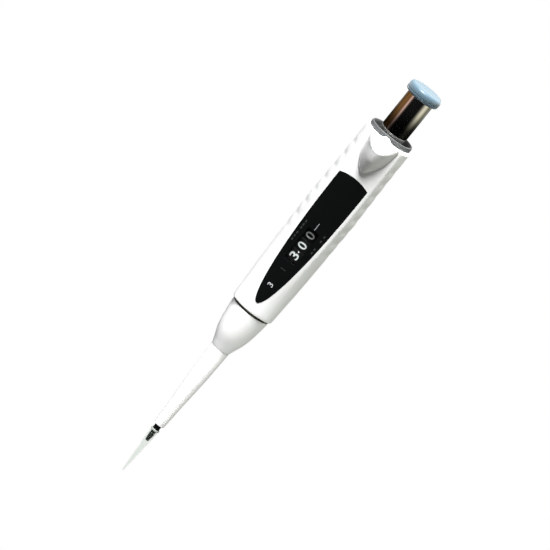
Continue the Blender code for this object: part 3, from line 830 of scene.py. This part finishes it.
def ejector_pad():
    front, back = [], []
    for station in np.linspace(0, 12, 97):
        middle, lift, half, proud, power = between(PAD, station)
        feather = 1 + 0.7 * min(max((6.5 - station) / 3, 0.0), 1.0)
        rows = ([], [])
        for k in range(49):
            u = math.sin((k / 24 - 1) * math.pi / 2)
            x = u * half
            height = middle + lift * u * u
            hump = max(min((station - 9.2) / 2.0, 1.0), 0.0) * 1.75 / (1 + abs((x + 0.3) / 2.4) ** 4)
            lie = front_y(x, min(height, 247.0)) - 0.4
            thick = min(0.12 + 0.05 * station, 0.45)
            out = proud * (1 - abs(u) ** power) ** feather
            rows[0].append((x, lie - thick - out, height + hump))
            rows[1].append((x, lie, height + hump))
        front.append(rows[0])
        back.append(rows[1])
    mesh = plate_mesh("ejector_pad", front, back)
    pad = piece("ejector_pad", mesh, "white", "ejector", ("ejector_button",))
    soften_edges(pad, 0.18, 2, 40)
    smooth_again(pad, 50)
    web = piece("ejector_web", box_mesh("web", (-2.8, -15.2, 242.0), (2.8, -9.8, 246.4)), "white", "ejector")
    carve(web, box_mesh("arm", (2.0, -11.3, 243.0), (8.8, -9.85, 246.35)), "UNION")
    carve(web, box_mesh("foot", (5.3, -11.25, 243.05), (8.75, -7.9, 246.3)), "UNION")
    soften_edges(web, 0.15, 2)
    smooth_again(web)


def ejector_skirt():
    cone = [
        (12.45, 120.9, 0.25),
        (12.25, 121.4, 0.15),
        (11.95, 121.4, 0.1),
        (11.55, 118.5),
        (10.7, 112.0),
        (8.1, 102.4),
        (6.0, 97.0),
        (4.65, 94.0),
        (4.65, 88.6),
        (4.95, 88.6),
        (4.95, 92.7),
        (5.95, 92.7, 0.3),
        (6.7, 94.6),
        (7.5, 97.0),
        (8.5, 99.4),
        (9.4, 101.9),
        (10.05, 104.2),
        (10.6, 106.8),
        (11.05, 109.3),
        (11.4, 111.8),
        (11.75, 114.2),
        (12.03, 116.6),
        (12.25, 118.8),
    ]
    turned("cone_white", smoothed(cone, 12, 22), "white", "ejector", ("ejector_cone",))
    collar = [
        (3.25, 34.7, 0.15),
        (3.55, 40.0),
        (4.0, 49.7),
        (4.75, 61.6),
        (5.45, 73.4),
        (6.05, 92.4, 0.2),
        (5.25, 92.4),
        (5.25, 88.0),
        (4.65, 73.4),
        (3.95, 61.6),
        (3.2, 49.7),
        (2.75, 40.0),
        (2.45, 34.7, 0.15),
    ]
    turned("shaft_white", collar, "white", "ejector", ("ejector_collar",), 40)


def smoothed(corners, first, last):
    """Refits the places from first to last of a turned outline with a finer curve through them."""
    table = sorted((h, r) for r, h, *_ in corners[first : last + 1])
    fine = [(between(table, h)[0], h) for h in np.linspace(table[0][0], table[-1][0], 40)[1:]]
    return corners[:first] + fine + corners[last + 1 :]


# --- operating button and collar --------------------------------------------------------------------------


def button():
    collar = [
        (12.1, 246.9),
        (12.1, 250.2),
        (13.85, 250.2, 0.3),
        (14.05, 251.6, 0.5),
        (13.85, 252.85, 0.5),
        (13.3, 253.0, 0.3),
        (13.1, 252.6, 0.2),
        (12.3, 251.2),
        (11.95, 246.9),
    ]
    turned("ring_grey", collar, "ring", "handle", ("top_collar",), 128)
    # A thin near-black ring over the collar's inner slope and the recess floor paints the shade that falls
    # inside the recess
    inset = [
        (11.85, 246.9),
        (12.2, 251.15),
        (12.98, 252.55, 0.1),
        (12.5, 252.1, 0.2),
        (11.6, 250.4, 0.3),
        (10.9, 248.7, 0.4),
        (9.05, 248.3, 0.2),
        (9.05, 246.9),
    ]
    turned("ring_painted_shade", inset, "inset", "handle", (), 128)
    sleeve = [
        (8.3, 248.0),
        (8.45, 248.2),
        (8.45, 248.3),
        (8.45, 278.3),
        (8.45, 278.4),
        (8.35, 278.5),
        (2.4, 278.5),
        (2.4, 276.9),
        (7.9, 276.9),
        (7.9, 248.0),
    ]
    turned("button_sleeve_chrome", sleeve, "chrome", "plunger", ("button_sleeve",), 160)
    base = [
        (0, 278.8),
        (9.9, 278.8, 0.5),
        (10.65, 279.5, 0.5),
        (10.8, 280.7),
        (10.5, 280.8),
        (0, 280.8),
    ]
    turned("button_base_blue", base, "cap", "plunger", ("button_head",), 128)
    cap = [
        (0, 281.0),
        (10.5, 281.0),
        (10.8, 281.1),
        (10.85, 282.2, 0.5),
        (10.75, 283.1, 0.6),
        (10.25, 284.2, 0.8),
        (8.9, 284.8, 1.0),
        (6.0, 285.0, 1.5),
        (0, 285.0),
    ]
    turned("button_cap_blue", cap, "cap", "plunger", ("colour_cap",), 128)


# --- lower parts ------------------------------------------------------------------------------------------


def lower_parts():
    barrel = [
        (0.75, 22.9),
        (1.05, 22.9, 0.15),
        (1.7, 27.9, 0.1),
        (1.25, 28.1),
        (1.25, 28.8),
        (1.65, 29.0, 0.1),
        (1.75, 31.1),
        (2.05, 31.9, 0.15),
        (2.05, 40.0),
        (2.7, 50.0),
        (3.4, 62.0),
        (4.1, 74.0),
        (4.35, 93.5),
        (5.0, 97.0),
        (7.2, 102.0),
        (7.2, 124.0),
        (9.6, 124.0, 0.3),
        (9.6, 127.0, 0.3),
        (6.2, 127.0),
        (6.2, 103.0),
        (4.4, 102.4),
        (4.4, 99.0),
        (2.6, 98.9),
        (2.6, 94.8),
        (0.75, 94.6),
    ]
    turned("barrel", barrel, "barrel", "handle", ("cylinder",), 40)
    turned("tip_wall", TIP, "tip", "tip", ("tip",), 32)
    # an opaque grey band on the clear tip's rim paints the reflection seen there
    rim = [(2.32, 30.4), (2.5, 30.4), (2.7, 30.55), (2.7, 31.4), (2.6, 31.5), (2.32, 31.5)]
    turned("tip_rim", rim, "rim", "tip", (), 32)
    band = [(1.28, 28.12), (1.5, 28.12), (1.5, 28.82), (1.28, 28.82)]
    turned("nose_band", band, "band", "handle", (), 32)
    nut = fluted_mesh("nut", 10.1, 0.28, 40, 7.6, 117.6, 123.6)
    piece("nut_fluted", nut, "nut", "handle", ("coupling_nut",))


TIP = (
    (0.5, 0.0, 0.08),
    (1.0, 7.0),
    (1.45, 14.0),
    (1.65, 18.5),
    (2.05, 21.5, 0.6),
    (2.35, 28.0),
    (2.45, 30.35),
    (2.3, 30.35),
    (2.15, 28.4),
    (1.75, 22.2),
    (1.2, 18.0, 0.5),
    (1.05, 14.0),
    (0.65, 7.0),
    (0.25, 0.0, 0.08),
)


def fluted_mesh(name, outer, depth, flutes, bore, low, high):
    """A ring with shallow flutes round its outside."""
    sides = flutes * 8
    places, faces = [], []
    rings = ((outer, low, 1), (outer, high, 1), (bore, high, 0), (bore, low, 0))
    for radius, height, fluting in rings:
        for i in range(sides):
            turn = 2 * math.pi * i / sides
            reach = radius - fluting * depth * (0.5 - 0.5 * math.cos(flutes * turn))
            places.append((reach * math.cos(turn), reach * math.sin(turn), height))
    for r in range(4):
        s = (r + 1) % 4
        for i in range(sides):
            j = (i + 1) % sides
            faces.append((r * sides + i, r * sides + j, s * sides + j, s * sides + i))
    return mesh_of(name, places, faces)


# --- finger hook ------------------------------------------------------------------------------------------

# Station, Y and height of the arm's middle line, half width, half thickness, how far the thickness leans over
HOOK = (
    (0.0, 14.5, 240.1, 7.0, 6.2, 0.0),
    (1.0, 17.6, 240.2, 7.0, 5.8, 0.0),
    (2.0, 19.4, 241.2, 6.95, 4.4, 0.0),
    (3.0, 21.8, 242.5, 6.8, 3.0, 0.0),
    (4.0, 25.0, 243.0, 6.6, 2.5, 0.0),
    (5.0, 30.0, 243.0, 6.45, 2.5, 0.0),
    (6.0, 34.0, 242.95, 6.3, 2.5, 6.0),
    (7.0, 38.2, 241.5, 6.0, 2.4, 36.0),
    (8.0, 41.0, 238.2, 5.6, 2.2, 64.0),
    (9.0, 42.2, 234.6, 5.2, 1.9, 80.0),
    (10.0, 42.5, 231.4, 4.5, 1.55, 88.0),
)
SEAT_SIDES = 160


def hook():
    sections = [hook_ring(between(HOOK, station), 1.0) for station in np.linspace(0, 10, 71)]
    y, height, half, thick, lean = between(HOOK, 10.0)
    for k in range(1, 7):
        # a rounded end
        turn = math.pi / 2 * k / 6
        ahead = 1.3 * math.sin(turn)
        row = (y, height - ahead, half, thick, lean)
        sections.append(hook_ring(row, max(math.cos(turn) ** 0.7, 0.05)))
    places = [p for ring in sections for p in ring]
    mesh = mesh_of("hook_arm", places, capped_faces(len(sections), len(sections[0])))
    made = piece("hook_arm", mesh, "white", "handle", ("finger_hook",))
    # the arm's root is cut to the handle's back
    seat_rows = []
    for height in np.linspace(226.0, 250.0, 13):
        run, total, _ = outline(height)
        seat, out = stretch_of(run, total, 0.0, total * (SEAT_SIDES - 1) / SEAT_SIDES, SEAT_SIDES)
        seat_rows.append([(*p, height) for p in seat + out * 0.05])
    places = [p for row in seat_rows for p in row]
    carve(made, mesh_of("seat", places, capped_faces(len(seat_rows), SEAT_SIDES)))
    smooth_again(made)


def hook_ring(row, shrink):
    """A rounded oblong round the arm's middle line."""
    y, height, half, thick, lean = row
    over_y = thick * shrink * math.sin(math.radians(lean))
    over_z = thick * shrink * math.cos(math.radians(lean))
    ring = []
    for k in range(48):
        turn = 2 * math.pi * k / 48
        x = math.copysign(abs(math.cos(turn)) ** 0.62, math.cos(turn))
        side = math.copysign(abs(math.sin(turn)) ** 0.5, math.sin(turn))
        ring.append((x * half * shrink, y + side * over_y, height + side * over_z))
    return ring


# --- stage ------------------------------------------------------------------------------------------------

# The camera looks from far away; the roll leans the upright pipette in the picture
VIEW_AZIMUTH = 1.2
VIEW_ELEVATION = 13.0
VIEW_ROLL = 38.76
VIEW_DISTANCE = 3.0
VIEW_HEIGHT = 146.1
VIEW_LENS = 345.0
VIEW_ASIDE = 1.86

# Lamps far away: where the light comes from, power, and the angle that the lamp takes up
KEY = ((-0.197, -0.341, 0.919), 8.6, 18)
FRONT_FILL = ((-0.5, -0.85, 0.05), 0.12, 45)
BACK_FILL = ((0.35, 0.8, 0.45), 1.3, 70)

LOW_CARD = (-18.0, -125.0, 80.0)
LOW_AIM = (0.0, 0.0, 82.0)
LOW_POWER = 0.023
LOW_SIZE = 0.1
LOW_SPREAD = 80

# Metres
FLOOR_R = 40.0
FLOOR_DROP = 0.75
TENT_R = 0.25
TENT_LOW = -0.5
TENT_HIGH = 0.12
TENT_SIDES = 72
FADE_LOW = -0.0295  # below this the cards are at their darkest, and above FADE_HIGH at their full strength
FADE_HIGH = -0.0135
FADE_LEAN = -0.005  # change of those heights for each metre to the right
FADE_CURVE = 1.4
LEAST_LEFT = 0.17  # darkest share of the cards at the left and at the right, before the curve
LEAST_RIGHT = 0.04
LEAST_REACH = 0.2

# The soft fill's colour from the left to the right, its strength from the front to the back, and the strength
# that shiny parts find low down and high up
FILL_LEFT = (0.36, 0.36, 0.4, 1.0)
FILL_RIGHT = (1.04, 1.06, 0.96, 1.0)
FILL_FRONT = 0.04
FILL_BACK = 1.3
SHINE_LOW = 0.25
SHINE_HIGH = 1.1


def aim(made, towards):
    """Turns a lamp so that it shines from a direction."""
    made.rotation_euler = Vector(towards).to_track_quat("Z", "Y").to_euler()


def sun(name, direction, power, spread_angle):
    lamp = bpy.data.lights.new(name, "SUN")
    lamp.energy = power
    lamp.angle = math.radians(spread_angle)
    aim(placed(name, lamp), direction)


def low_card():
    """A white card close to the lower parts, which lifts their undersides and leaves the pad's in shade."""
    lamp = bpy.data.lights.new("low_card", "AREA")
    lamp.energy = LOW_POWER
    lamp.size = LOW_SIZE
    lamp.spread = math.radians(LOW_SPREAD)
    made = placed("low_card", lamp)
    made.location = spot(*LOW_CARD)
    aim(made, Vector(spot(*LOW_CARD)) - Vector(spot(*LOW_AIM)))
    made.visible_camera = False
    made.visible_glossy = False
    made.visible_transmission = False


def plain_emitter(name):
    """An empty material for a surface that only gives light."""
    made = bpy.data.materials.new(name)
    made.use_nodes = True
    made.node_tree.nodes.remove(made.node_tree.nodes["Principled BSDF"])
    return made, made.node_tree


def floor():
    """A white floor that is seen from above only and gives no light to the pipette."""
    bm = bmesh.new()
    bmesh.ops.create_circle(bm, cap_ends=True, segments=64, radius=FLOOR_R)
    mesh = bpy.data.meshes.new("floor")
    bm.to_mesh(mesh)
    bm.free()
    made = placed("floor", mesh)
    made.location.z = -(HOOK_PLANE * MM + FLOOR_DROP)
    material, tree = plain_emitter("floor_white")
    glow = tree.nodes.new("ShaderNodeEmission")
    clear = tree.nodes.new("ShaderNodeBsdfTransparent")
    mix = tree.nodes.new("ShaderNodeMixShader")
    facing = tree.nodes.new("ShaderNodeNewGeometry")
    glow.inputs["Color"].default_value = (1.0, 1.0, 1.0, 1.0)
    tree.links.new(facing.outputs["Backfacing"], mix.inputs["Fac"])
    tree.links.new(glow.outputs["Emission"], mix.inputs[1])
    tree.links.new(clear.outputs["BSDF"], mix.inputs[2])
    tree.links.new(mix.outputs["Shader"], tree.nodes["Material Output"].inputs["Surface"])
    mesh.materials.append(material)
    made.visible_diffuse = False
    made.visible_glossy = False
    made.visible_shadow = False


# Degrees round from the front (right positive) and the light that the shiny parts find there
TENT = (
    (-180, (0.30, 0.29, 0.28)),
    (-150, (0.22, 0.19, 0.16)),
    (-118, (0.10, 0.045, 0.01)),
    (-96, (0.22, 0.11, 0.035)),
    (-81, (0.16, 0.075, 0.022)),
    (-67, (0.24, 0.13, 0.075)),
    (-56, (0.74, 0.50, 0.43)),
    (-47, (0.16, 0.10, 0.08)),
    (-38, (0.006, 0.006, 0.006)),
    (44, (0.006, 0.006, 0.006)),
    (56, (0.16, 0.15, 0.12)),
    (67, (0.56, 0.54, 0.41)),
    (81, (0.80, 0.76, 0.60)),
    (96, (0.50, 0.48, 0.36)),
    (113, (0.15, 0.145, 0.09)),
    (135, (0.25, 0.25, 0.22)),
    (180, (0.30, 0.29, 0.28)),
)


def tent():
    """A cylinder of cards round the pipette that only shiny surfaces see."""
    bm = bmesh.new()
    ring = circle(TENT_R, TENT_SIDES)
    rings = [[bm.verts.new((*p, z)) for p in ring] for z in (TENT_LOW, TENT_HIGH)]
    for i in range(TENT_SIDES):
        j = (i + 1) % TENT_SIDES
        bm.faces.new((rings[0][i], rings[0][j], rings[1][j], rings[1][i]))
    mesh = bpy.data.meshes.new("tent")
    bm.to_mesh(mesh)
    bm.free()
    made = placed("tent", mesh)
    material, tree = plain_emitter("tent_cards")
    coords = tree.nodes.new("ShaderNodeTexCoord")
    split = tree.nodes.new("ShaderNodeSeparateXYZ")
    flip = tree.nodes.new("ShaderNodeMath")
    flip.operation = "MULTIPLY"
    flip.inputs[1].default_value = -1.0
    angle = tree.nodes.new("ShaderNodeMath")
    angle.operation = "ARCTAN2"
    share = mapped(tree, angle.outputs["Value"], -math.pi, math.pi)
    cards = tree.nodes.new("ShaderNodeValToRGB")
    stops = cards.color_ramp.elements
    while len(stops) > 1:
        stops.remove(stops[-1])
    stops[0].position = 0.0
    stops[0].color = (*TENT[0][1], 1.0)
    for degrees, colour in TENT[1:]:
        stop = stops.new((degrees + 180) / 360)
        stop.color = (*colour, 1.0)
    # the left cards reach lower and end less dark
    lean = tree.nodes.new("ShaderNodeMath")
    lean.operation = "MULTIPLY_ADD"
    lean.inputs[1].default_value = FADE_LEAN
    least = mapped(tree, split.outputs["X"], -LEAST_REACH, LEAST_REACH, LEAST_LEFT, LEAST_RIGHT)
    fade = mapped(tree, lean.outputs["Value"], FADE_LOW, FADE_HIGH)
    fade.interpolation_type = "SMOOTHSTEP"
    soften = tree.nodes.new("ShaderNodeMath")
    soften.operation = "POWER"
    soften.inputs[1].default_value = FADE_CURVE
    glow = tree.nodes.new("ShaderNodeEmission")
    link = tree.links.new
    link(coords.outputs["Object"], split.inputs["Vector"])
    link(split.outputs["Y"], flip.inputs[0])
    link(split.outputs["X"], angle.inputs[0])
    link(flip.outputs["Value"], angle.inputs[1])
    link(share.outputs["Result"], cards.inputs["Fac"])
    link(split.outputs["X"], lean.inputs[0])
    link(split.outputs["Z"], lean.inputs[2])
    link(least.outputs["Result"], fade.inputs["To Min"])
    link(cards.outputs["Color"], glow.inputs["Color"])
    link(fade.outputs["Result"], soften.inputs[0])
    link(soften.outputs["Value"], glow.inputs["Strength"])
    link(glow.outputs["Emission"], tree.nodes["Material Output"].inputs["Surface"])
    mesh.materials.append(material)
    made.visible_camera = False
    made.visible_diffuse = False
    made.visible_transmission = False
    made.visible_shadow = False


def world():
    """White behind the object, a soft fill that is warmer and stronger from the right and stronger from the
    back, and a fill for shiny parts that is stronger from above."""
    made = bpy.data.worlds.new("studio")
    bpy.context.scene.world = made
    made.use_nodes = True
    tree = made.node_tree
    tree.nodes.clear()
    output = tree.nodes.new("ShaderNodeOutputWorld")
    coords = tree.nodes.new("ShaderNodeTexCoord")
    split = tree.nodes.new("ShaderNodeSeparateXYZ")
    across = mapped(tree, split.outputs["X"], -1.0, 1.0)
    behind = mapped(tree, split.outputs["Y"], -1.0, 1.0, FILL_FRONT, FILL_BACK)
    up = mapped(tree, split.outputs["Z"], -0.3, 1.0, SHINE_LOW, SHINE_HIGH)
    fill = tree.nodes.new("ShaderNodeValToRGB")
    fill.color_ramp.elements[0].color = FILL_LEFT
    fill.color_ramp.elements[1].color = FILL_RIGHT
    paths = tree.nodes.new("ShaderNodeLightPath")
    white = tree.nodes.new("ShaderNodeBackground")
    soft = tree.nodes.new("ShaderNodeBackground")
    shine = tree.nodes.new("ShaderNodeBackground")
    for_diffuse = tree.nodes.new("ShaderNodeMixShader")
    for_glossy = tree.nodes.new("ShaderNodeMixShader")
    white.inputs["Color"].default_value = (1.0, 1.0, 1.0, 1.0)
    link = tree.links.new
    link(coords.outputs["Generated"], split.inputs["Vector"])
    link(across.outputs["Result"], fill.inputs["Fac"])
    link(fill.outputs["Color"], soft.inputs["Color"])
    link(behind.outputs["Result"], soft.inputs["Strength"])
    link(up.outputs["Result"], shine.inputs["Strength"])
    link(paths.outputs["Is Diffuse Ray"], for_diffuse.inputs["Fac"])
    link(white.outputs["Background"], for_diffuse.inputs[1])
    link(soft.outputs["Background"], for_diffuse.inputs[2])
    link(paths.outputs["Is Glossy Ray"], for_glossy.inputs["Fac"])
    link(for_diffuse.outputs["Shader"], for_glossy.inputs[1])
    link(shine.outputs["Background"], for_glossy.inputs[2])
    link(for_glossy.outputs["Shader"], output.inputs["Surface"])


def camera():
    lens = bpy.data.cameras.new("camera")
    lens.lens = VIEW_LENS
    lens.sensor_width = 36.0
    lens.clip_start = 0.05
    lens.clip_end = 200.0
    made = placed("camera", lens)
    a, e = math.radians(VIEW_AZIMUTH), math.radians(VIEW_ELEVATION)
    back = Vector((math.sin(a) * math.cos(e), -math.cos(a) * math.cos(e), math.sin(e)))
    right = Vector((math.cos(a), math.sin(a), 0.0))
    target = Vector(spot(0, 0, VIEW_HEIGHT))
    made.location = target + back * VIEW_DISTANCE - right * VIEW_ASIDE * MM
    level = back.to_track_quat("Z", "Y").to_matrix().to_4x4()
    roll = Matrix.Rotation(math.radians(VIEW_ROLL), 4, "Z")
    made.matrix_world = Matrix.Translation(made.location) @ level @ roll
    bpy.context.scene.camera = made


def studio():
    floor()
    tent()
    world()
    sun("key", *KEY)
    sun("front_fill", *FRONT_FILL)
    low_card()
    sun("back_fill", *BACK_FILL)
    camera()
    bpy.context.scene.view_settings.view_transform = "Standard"


handle()
display()
ejector_pad()
ejector_skirt()
button()
lower_parts()
hook()
dress_inner_parts()
studio()
